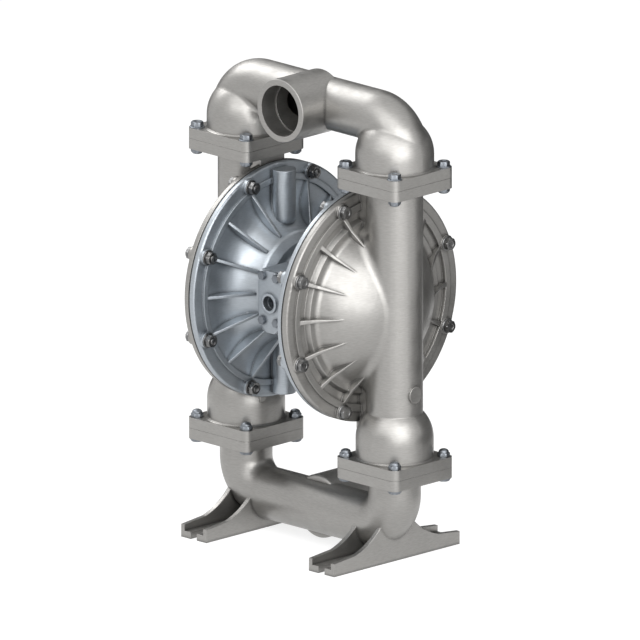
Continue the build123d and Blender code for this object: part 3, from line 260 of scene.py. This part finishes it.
def new_material(name, color, metallic, roughness):
    """A material and its surface shader, to which grain and edges are then linked."""
    material = bpy.data.materials.new(f"finish_{name}")
    material.use_nodes = True
    surface = material.node_tree.nodes["Principled BSDF"]
    surface.inputs["Base Color"].default_value = (*color, 1)
    surface.inputs["Metallic"].default_value = metallic
    surface.inputs["Roughness"].default_value = roughness
    return material, surface


def shaded(color, share):
    """A colour made darker or brighter, with its alpha."""
    return (*(min(1, share * value) for value in color), 1)


def grain_noise(material, size, detail, scale=None):
    """Noise on object coordinates whose grains are as large as size, in metres, and scaled along the axes."""
    place = shader(material, "ShaderNodeTexCoord").outputs["Object"]
    if scale:
        place = shader(material, "ShaderNodeMapping", Vector=place, Scale=scale).outputs["Vector"]
    return shader(material, "ShaderNodeTexNoise", Vector=place, Scale=1 / size, Detail=detail).outputs["Fac"]


def spread(material, noise, low, high):
    """The noise stretched to run between two values."""
    band = shader(material, "ShaderNodeMapRange", Value=noise, To_Min=low, To_Max=high)
    band.inputs["From Min"].default_value = NOISE_LOW
    band.inputs["From Max"].default_value = NOISE_HIGH
    return band.outputs["Result"]


def clouded(material, clouds, roughness, change):
    """A roughness that clouds change by as much either way."""
    return spread(material, clouds, roughness - change, roughness + change)


def bumped(material, height, strength, distance, **before):
    """The normal with a height's relief on it, over the normal given before."""
    bump = shader(material, "ShaderNodeBump", Height=height, Strength=strength, Distance=distance, **before)
    return bump.outputs["Normal"]


def two_tone(material, factor, first, second):
    """The first colour where the factor is 0 and the second where it is 1."""
    mix = material.node_tree.nodes.new("ShaderNodeMix")
    mix.data_type = "RGBA"
    feed(material, factor, mix.inputs["Factor"])
    feed(material, first, mix.inputs["A"])
    feed(material, second, mix.inputs["B"])
    return mix.outputs["Result"]


def edge_radius(material, finish):
    """The machined edge radius on flanges, feet and ports, and the cast one on all the rest.

    A point is on one of those where it is above or below the caps, and further from both columns' axes than
    a ball cage reaches: hypot(|x| - COLUMN_X, y) > CAGE_R.
    """
    place = shader(material, "ShaderNodeTexCoord").outputs["Object"]
    parts = shader(material, "ShaderNodeSeparateXYZ", Vector=place).outputs
    along = combined(material, "SUBTRACT", combined(material, "ABSOLUTE", parts["X"], 0), COLUMN_X)
    beside = combined(material, "MULTIPLY", parts["Y"], parts["Y"])
    reach = combined(material, "ADD", combined(material, "MULTIPLY", along, along), beside)
    outside = combined(material, "GREATER_THAN", reach, CAGE_R * CAGE_R)
    rise = combined(material, "ABSOLUTE", combined(material, "SUBTRACT", parts["Z"], ROD_Z), 0)
    machined = combined(material, "MULTIPLY", outside, combined(material, "GREATER_THAN", rise, CAP_REACH))
    lost = combined(material, "MULTIPLY", machined, finish.edge - finish.machined_edge)
    return combined(material, "SUBTRACT", finish.edge, lost)


def cast_normal(material, strokes, finish):
    """Rounded edges, then slow swells of the skin, then fine strokes."""
    soft = shader(material, "ShaderNodeBevel", Radius=edge_radius(material, finish))
    soft.samples = EDGE_SAMPLES
    swell = grain_noise(material, SWELL_GRAINS * finish.grain, detail=2)
    wave = bumped(material, swell, strength=0.05, distance=5 * finish.grain, Normal=soft.outputs["Normal"])
    return bumped(material, strokes, strength=0.16, distance=0.3 * finish.grain, Normal=wave)


def painted_nook_shade(material, finish):
    """How much painted shade darkens a point: more in a nook, where less of the open air is seen."""
    # Painted shade: ambient occlusion sets how dark the colour is painted in nooks
    nook = shader(material, "ShaderNodeAmbientOcclusion", Distance=NOOK_SHADE_REACH * finish.edge)
    nook.samples = EDGE_SAMPLES
    open_air = nook.outputs["AO"]
    deep = shader(
        material, "ShaderNodeMapRange", Value=open_air, From_Min=0.4, From_Max=0.95, To_Min=0.85, To_Max=0
    )
    return deep.outputs["Result"]


def cast_finish(name, color, roughness, finish):
    """Blasted casting: soft edges, fine level strokes, cloudy roughness, and painted shade in its nooks."""
    material, surface = new_material(name, color, CAST_METALLIC, roughness)
    strokes = grain_noise(material, finish.grain, detail=2, scale=STROKE_SCALE)
    feed(material, cast_normal(material, strokes, finish), surface.inputs["Normal"])
    clouds = grain_noise(material, CLOUD_GRAINS * finish.grain, detail=4)
    feed(material, clouded(material, clouds, roughness, CAST_CLOUDS), surface.inputs["Roughness"])
    dark, bright = (shaded(color, share) for share in STROKE_TINTS)
    tint = two_tone(material, spread(material, strokes, 0, 1), dark, bright)
    # Painted shade: the colour is darkened in nooks, where less of the open air is seen
    nook_shaded = two_tone(material, painted_nook_shade(material, finish), tint, shaded(color, NOOK_SHADE_TINT))
    feed(material, nook_shaded, surface.inputs["Base Color"])


def plain_finish(name, color, metallic, roughness, grain, strength):
    """Machined, plated or moulded surface: fine grain in the bump, clouds in colour and roughness."""
    material, surface = new_material(name, color, metallic, roughness)
    fine = grain_noise(material, grain, detail=3)
    feed(material, bumped(material, fine, strength, distance=0.2 * grain), surface.inputs["Normal"])
    clouds = grain_noise(material, PLAIN_CLOUD_GRAINS * grain, detail=3)
    feed(material, clouded(material, clouds, roughness, PLAIN_CLOUDS), surface.inputs["Roughness"])
    dark, bright = (shaded(color, share) for share in PLAIN_TINTS)
    tint = two_tone(material, spread(material, clouds, 0, 1), dark, bright)
    feed(material, tint, surface.inputs["Base Color"])


def make_finishes(finish):
    """Every finish, named after the record's slot that it belongs to."""
    cast_finish("cast_stainless", finish.stainless, 0.40, finish)
    cast_finish("cast_aluminium", finish.aluminium, 0.42, finish)
    plain_finish("zinc_steel", finish.zinc, 1.0, 0.42, STEEL_GRAIN, STEEL_BUMP)
    plain_finish("dark_steel", finish.dark_steel, 1.0, 0.30, STEEL_GRAIN, STEEL_BUMP)
    for row in PLAIN_FINISHES:
        plain_finish(*row)


def finish_of(slot):
    """The finished material of a slot."""
    return bpy.data.materials[f"finish_{slot}"]


def add_piece(name, points, faces, slot, node=None, finish=None):
    """A mesh piece of the housing, in the pump's frame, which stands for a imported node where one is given."""
    mesh = bpy.data.meshes.new(name)
    mesh.from_pydata(points, (), faces)
    mesh.validate()
    mesh.shade_smooth()
    mesh.set_sharp_from_angle(angle=radians(SHARP_ANGLE))
    mesh.materials.append(finish_of(finish or slot))
    piece = bpy.data.objects.new(name, mesh)
    bpy.context.scene.collection.objects.link(piece)
    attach(piece, "housing")
    if node:
        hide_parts(node)


def turned(radii, heights, angle):
    """Points of a profile turned round Z: (r cos a, r sin a, z) for each row of r and z and each angle a."""
    return np.stack([radii * np.cos(angle), radii * np.sin(angle), heights + 0 * angle], -1).reshape(-1, 3)


def filled_faces(rows, columns):
    """Faces of a grid closed round its columns, with its first and last rows filled."""
    row, column = np.mgrid[0:rows - 1, 0:columns]
    near = row * columns + column
    far = row * columns + (column + 1) % columns
    sides = np.stack([near, far, far + columns, near + columns], -1).reshape(-1, 4).tolist()
    first = list(range(columns))[::-1]
    last = [(rows - 1) * columns + index for index in range(columns)]
    return [first, *sides, last]


def turned_hexagon(rows):
    """A turned profile cut by a hexagon.

    Each row is a radius, a height and the hexagon's half width there, or 0 where the profile stays round.
    At each angle the radius is the smaller of the profile's and the hexagon's, which is its half width over
    the cosine of the angle from the nearest flat. That leaves the curved chamfers of a turned bolt head.
    """
    radii, heights, half_flats = np.array(rows).T[:, :, None]
    angle = np.linspace(0, 2 * np.pi, HEXAGON_COLUMNS, endpoint=False)
    from_flat = np.mod(angle, np.pi / 3) - np.pi / 6
    limit = np.where(half_flats > 0, half_flats, 1.0) / np.cos(from_flat)
    return turned(np.minimum(radii, limit), heights, angle), filled_faces(len(rows), HEXAGON_COLUMNS)


def copies(points, faces, places, axis):
    """The same shape at several places, with its own height turned to the given axis."""
    out = Vector(axis)
    across = out.orthogonal().normalized()
    basis = np.array([across, out.cross(across), out])
    moved = (points @ basis + np.asarray(places)[:, None]).reshape(-1, 3)
    starts = len(points) * np.arange(len(places))
    return moved, [np.add(face, start).tolist() for start in starts for face in faces]


def hexagon_bolt(head, shank, washer, chamfer):
    """A bolt along +Z whose washer rests at height 0: a turned shank, a round flange and a chamfered hexagon.

    head and washer are (half width, height) and shank is (radius, length).
    """
    half, head_height = head
    shank_r, shank_length = shank
    washer_r, washer_height = washer
    corner = half / cos(radians(30))
    top = washer_height + head_height
    return turned_hexagon((
        (0.6 * shank_r, -shank_length, 0),
        (shank_r, -shank_length + 0.4 * shank_r, 0),
        (shank_r, 0, 0),
        (0.97 * washer_r, 0, 0),
        (washer_r, 0.15 * washer_height, 0),
        (washer_r, 0.6 * washer_height, 0),
        (0.93 * washer_r, washer_height, 0),
        (corner, washer_height + HEAD_LIFT, half),
        (corner, top - 0.8 * chamfer, half),
        (corner - chamfer, top - 0.15 * chamfer, half),
        (half - 1.2 * chamfer, top, 0),
        (0.55 * half, top, 0),
        (0.48 * half, top - 0.5 * chamfer, 0),
        (0.15 * half, top - 0.6 * chamfer, 0),
    ))


def domed_nut(half, hexagon, height, chamfer):
    """A cap nut along +Z that rests at height 0: a chamfered hexagon below a dome.

    The dome is a quarter of an ellipse, r = dome_r cos t and z = foot + (height - foot) sin t, for t from 0
    to 90 degrees.
    """
    corner = half / cos(radians(30))
    dome_r = 0.93 * half
    foot = hexagon + 0.15 * (height - hexagon)
    base = (
        (half - chamfer, 0, 0),
        (corner - 0.6 * chamfer, 0, half),
        (corner, 0.5 * chamfer, half),
        (corner, hexagon - 0.7 * chamfer, half),
        (corner - chamfer, hexagon - 0.1 * chamfer, half),
        (dome_r, hexagon, 0),
    )
    sweep = np.linspace(0, 0.5 * np.pi, DOME_ROWS, endpoint=False)
    dome = np.stack([dome_r * np.cos(sweep), foot + (height - foot) * np.sin(sweep), 0 * sweep], -1)
    return turned_hexagon(np.concatenate([base, dome]))


def open_nut(half, height, washer, chamfer, bolt_r, point):
    """A plain nut along +Z on its washer, chamfered at both ends, with the bolt's rounded point standing out.

    washer is (half width, height).
    """
    washer_r, washer_height = washer
    corner = half / cos(radians(30))
    top = washer_height + height
    return turned_hexagon((
        (0.6 * bolt_r, 0, 0),
        (0.97 * washer_r, 0, 0),
        (washer_r, 0.15 * washer_height, 0),
        (washer_r, 0.85 * washer_height, 0),
        (0.97 * washer_r, washer_height, 0),
        (corner - chamfer, washer_height, half),
        (corner, washer_height + 0.6 * chamfer, half),
        (corner, top - 0.6 * chamfer, half),
        (corner - chamfer, top, half),
        (1.22 * bolt_r, top, 0),
        (1.02 * bolt_r, top - 0.4 * chamfer, 0),
        (bolt_r, top - 0.4 * chamfer, 0),
        (bolt_r, top + 0.6 * point, 0),
        (0.8 * bolt_r, top + point, 0),
    ))


def corner_ring(wall_r, size):
    """A concave ring in the corner between a round wall and the flat that it stands on, at height 0.

    r = wall_r + size (1 - cos t) and z = size (1 - sin t), for t from 90 degrees on the flat to 0 on the
    wall. Its edges dip a little below both, and it is closed inside them.
    """
    sweep = np.linspace(0.5 * np.pi, 0, RING_ROWS)
    inside = 5 * RING_DIP
    inner_radii = (wall_r - inside, wall_r - inside, wall_r + size)
    inner_heights = (size, -inside, -inside)
    radii = np.append(wall_r - RING_DIP + size * (1 - np.cos(sweep)), inner_radii)[:, None]
    heights = np.append(size * (1 - np.sin(sweep)) - RING_DIP, inner_heights)[:, None]
    angle = np.linspace(0, 2 * np.pi, RING_COLUMNS, endpoint=False)
    row, column = np.mgrid[0:len(radii), 0:RING_COLUMNS]
    start = row * RING_COLUMNS
    after, beside = (row + 1) % len(radii) * RING_COLUMNS, (column + 1) % RING_COLUMNS
    faces = np.stack([start + column, start + beside, after + beside, after + column], -1)
    return turned(radii, heights, angle), faces.reshape(-1, 4).tolist()


def cap_bolt_places(x):
    """Places of the bolts round a cap, in the plane at a given x."""
    angle = radians(CAP_BOLT_ANGLE) + np.arange(CAP_BOLTS) * 2 * np.pi / CAP_BOLTS
    y, z = CAP_BOLT_CIRCLE * np.cos(angle), ROD_Z + CAP_BOLT_CIRCLE * np.sin(angle)
    return np.stack([np.full(CAP_BOLTS, x), y, z], -1)


def flange_places(z):
    """Places of the bolts at the corners of both square flanges, at a given height."""
    corners = (-FLANGE_PITCH / 2, FLANGE_PITCH / 2)
    column, x, y = np.meshgrid((-COLUMN_X, COLUMN_X), corners, corners, indexing="ij")
    return np.stack([column + x, y, np.full_like(y, z)], -1).reshape(-1, 3)


class PUMP_OT_finish_nodes(bpy.types.Operator):
    """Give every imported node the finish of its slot"""

    bl_idname = "pump.finish_nodes"
    bl_label = "Finish Castings and Parts"

    def execute(self, context):
        make_finishes(context.scene.pump_finish)
        for name, node in frame["nodes"].items():
            node.data.materials.clear()
            node.data.materials.append(finish_of(RECORD_SLOTS[name]))
        return {"FINISHED"}


class PUMP_OT_cage_corners(bpy.types.Operator):
    """Put the cast rounds between the ball cages and the flanges that they stand on"""

    bl_idname = "pump.cage_corners"
    bl_label = "Cage Corners"

    def execute(self, context):
        size = context.scene.pump_sizes.corner
        for name, wall_r, height in CAGES:
            places = ((-COLUMN_X, 0, height), (COLUMN_X, 0, height))
            rings = copies(*corner_ring(wall_r, size), places, (0, 0, 1))
            add_piece(f"{name}_cage_corners", *rings, "cast_stainless")
        return {"FINISHED"}


class PUMP_OT_cap_fasteners(bpy.types.Operator):
    """Put flanged bolts, washers and nuts round both pairs of caps"""

    bl_idname = "pump.cap_fasteners"
    bl_label = "Cap Bolts and Nuts"

    def execute(self, context):
        chamfer = context.scene.pump_sizes.chamfer
        half = CAP_HEX / 2
        bolt = hexagon_bolt((half, CAP_HEAD - CAP_FACE), (BOLT_R, CAP_SHANK), (WASHER_R, CAP_FACE), chamfer)
        nut = open_nut(half, CAP_NUT, (WASHER_R, WASHER), chamfer, BOLT_R, BOLT_POINT)
        for side, toward in SIDES:
            heads = copies(*bolt, cap_bolt_places(toward * FLUID_BOSS_X), (toward, 0, 0))
            add_piece(f"{side}_cap_bolt_heads", *heads, "zinc_steel", f"{side}_cap_bolts", "dark_steel")
            nuts = copies(*nut, cap_bolt_places(toward * AIR_BOSS_X), (-toward, 0, 0))
            add_piece(f"{side}_cap_nut_set", *nuts, "zinc_steel", f"{side}_cap_nuts", "dark_steel")
        return {"FINISHED"}


class PUMP_OT_flange_fasteners(bpy.types.Operator):
    """Put bolts, washers and domed nuts at the corners of the square flanges"""

    bl_idname = "pump.flange_fasteners"
    bl_label = "Flange Bolts and Nuts"

    def execute(self, context):
        chamfer = context.scene.pump_sizes.chamfer
        half = FLANGE_HEX / 2
        for port, head_end, nut_end, out, head_height, nut_height in FLANGE_JOINTS:
            shank = abs(head_end - nut_end)
            bolt = hexagon_bolt((half, head_height), (BOLT_R, shank), (WASHER_R, WASHER), chamfer)
            heads = copies(*bolt, flange_places(head_end), (0, 0, out))
            add_piece(f"{port}_flange_bolt_set", *heads, "zinc_steel", f"{port}_flange_bolts")
            nut = domed_nut(half, NUT_HEX, nut_height, chamfer)
            nuts = copies(*nut, flange_places(nut_end), (0, 0, -out))
            add_piece(f"{port}_flange_nut_set", *nuts, "zinc_steel", f"{port}_flange_nuts")
        return {"FINISHED"}


def outward(azimuth, elevation):
    """Direction away from the pump, with azimuth 0 in front of the outlet and 90 on the +X side."""
    turn, rise = radians(azimuth), radians(elevation)
    return Vector((sin(turn) * cos(rise), -cos(turn) * cos(rise), sin(rise)))


def looked_at(owner):
    """1 where the camera sees a surface, in a metal or through glass too, and 0 for its light elsewhere."""
    path = shader(owner, "ShaderNodeLightPath").outputs
    seen = combined(owner, "MAXIMUM", path["Is Camera Ray"], path["Is Glossy Ray"])
    return combined(owner, "MAXIMUM", seen, path["Is Transmission Ray"])


def studio_card(name, corners, material):
    """A flat card of the studio, with its corners in order round its outline."""
    mesh = bpy.data.meshes.new(name)
    mesh.from_pydata(corners, (), [(0, 1, 2, 3)])
    mesh.materials.append(material)
    card = bpy.data.objects.new(name, mesh)
    bpy.context.scene.collection.objects.link(card)
    return card


def floor_material():
    """Pale paint that takes the pump's shadow, with a glow where it is looked at."""
    material = bpy.data.materials.new("studio_floor")
    material.use_nodes = True
    material.node_tree.nodes.clear()
    paint = shader(material, "ShaderNodeBsdfDiffuse", Color=(FLOOR_PAINT, FLOOR_PAINT, FLOOR_PAINT, 1))
    level = combined(material, "MULTIPLY", looked_at(material), FLOOR_GLOW)
    glow = shader(material, "ShaderNodeEmission", Strength=level)
    both = shader(material, "ShaderNodeAddShader")
    feed(material, paint.outputs["BSDF"], both.inputs[0])
    feed(material, glow.outputs["Emission"], both.inputs[1])
    shader(material, "ShaderNodeOutputMaterial", Surface=both.outputs["Shader"])
    return material


def add_floor():
    """A square floor just under the feet."""
    half = FLOOR_SIZE / 2
    corners = [(half * x, half * y, -FLOOR_GAP) for x, y in ((-1, -1), (1, -1), (1, 1), (-1, 1))]
    studio_card("studio_floor", corners, floor_material())


def add_surround():
    """A world that is white where it is looked at and gives a softer light elsewhere."""
    world = bpy.data.worlds.new("studio")
    world.use_nodes = True
    bpy.context.scene.world = world
    level = shader(world, "ShaderNodeMapRange", Value=looked_at(world), To_Min=AMBIENT, To_Max=1.0)
    background = world.node_tree.nodes["Background"]
    background.inputs["Color"].default_value = (1, 1, 1, 1)
    feed(world, level.outputs["Result"], background.inputs["Strength"])


def add_lamp(name, azimuth, elevation, distance, width, height, power):
    """A soft rectangular lamp that faces the middle of the pump."""
    middle = Vector((0, 0, (CAD_LOW.z + CAD_HIGH.z) / 2))
    toward_lamp = outward(azimuth, elevation)
    lamp = bpy.data.lights.new(name, "AREA")
    lamp.shape = "RECTANGLE"
    lamp.size, lamp.size_y, lamp.energy = width, height, power
    light = bpy.data.objects.new(name, lamp)
    light.location = middle + distance * toward_lamp
    light.rotation_euler = (-toward_lamp).to_track_quat("-Z", "Y").to_euler()
    light.visible_camera = False
    bpy.context.scene.collection.objects.link(light)


def add_flag(name, azimuth, distance, width, low, high, tone):
    """An upright dark card that shows only in the metal's reflections."""
    material = new_material(name, (tone, tone, tone), 0.0, FLAG_ROUGHNESS)[0]
    foot = distance * outward(azimuth, 0)
    across = Vector((foot.y, -foot.x, 0)).normalized() * width / 2
    bottom, top = Vector((0, 0, low)), Vector((0, 0, high))
    corners = [foot - across + bottom, foot + across + bottom, foot + across + top, foot - across + top]
    flag = studio_card(name, corners, material)
    flag.visible_camera = flag.visible_diffuse = flag.visible_shadow = False


def add_camera():
    """An orthographic camera at the photograph's angle."""
    back = outward(VIEW_AZIMUTH, VIEW_ELEVATION)
    lens = bpy.data.cameras.new("studio_camera")
    lens.type = "ORTHO"
    lens.ortho_scale = VIEW_WIDTH
    lens.clip_end = VIEW_DEPTH
    camera = bpy.data.objects.new("studio_camera", lens)
    camera.location = Vector(VIEW_TARGET) + VIEW_DISTANCE * back
    camera.rotation_euler = (-back).to_track_quat("-Z", "Y").to_euler()
    bpy.context.scene.collection.objects.link(camera)
    bpy.context.scene.camera = camera


class PUMP_OT_stage(bpy.types.Operator):
    """Set the floor, the soft lights, the pale surround and the camera"""

    bl_idname = "pump.stage"
    bl_label = "Stage"

    def execute(self, context):
        context.scene.view_settings.view_transform = "Standard"
        add_floor()
        add_surround()
        for lamp in LIGHTS:
            add_lamp(*lamp)
        for flag in FLAGS:
            add_flag(*flag)
        add_camera()
        return {"FINISHED"}


class PUMP_PT_panel(bpy.types.Panel):
    """Finishes and pieces of the pump"""

    bl_idname = "PUMP_PT_panel"
    bl_label = "Diaphragm Pump"
    bl_space_type = "VIEW_3D"
    bl_region_type = "UI"
    bl_category = "Pump"

    def draw(self, context):
        for group in (context.scene.pump_finish, context.scene.pump_sizes):
            for name in group.__annotations__:
                self.layout.prop(group, name)
        for operator in OPERATORS:
            self.layout.operator(operator.bl_idname)


OPERATORS = (
    PUMP_OT_finish_nodes,
    PUMP_OT_cage_corners,
    PUMP_OT_cap_fasteners,
    PUMP_OT_flange_fasteners,
    PUMP_OT_stage,
)
CLASSES = (PumpFinish, PumpSizes, *OPERATORS, PUMP_PT_panel)


def register():
    for item in CLASSES:
        bpy.utils.register_class(item)
    bpy.types.Scene.pump_finish = bpy.props.PointerProperty(type=PumpFinish)
    bpy.types.Scene.pump_sizes = bpy.props.PointerProperty(type=PumpSizes)


def unregister():
    del bpy.types.Scene.pump_sizes
    del bpy.types.Scene.pump_finish
    for item in reversed(CLASSES):
        bpy.utils.unregister_class(item)


def main():
    """Make every piece."""
    register()
    bpy.ops.pump.finish_nodes()
    bpy.ops.pump.cage_corners()
    bpy.ops.pump.cap_fasteners()
    bpy.ops.pump.flange_fasteners()
    bpy.ops.pump.stage()


if __name__ == "__main__":
    main()
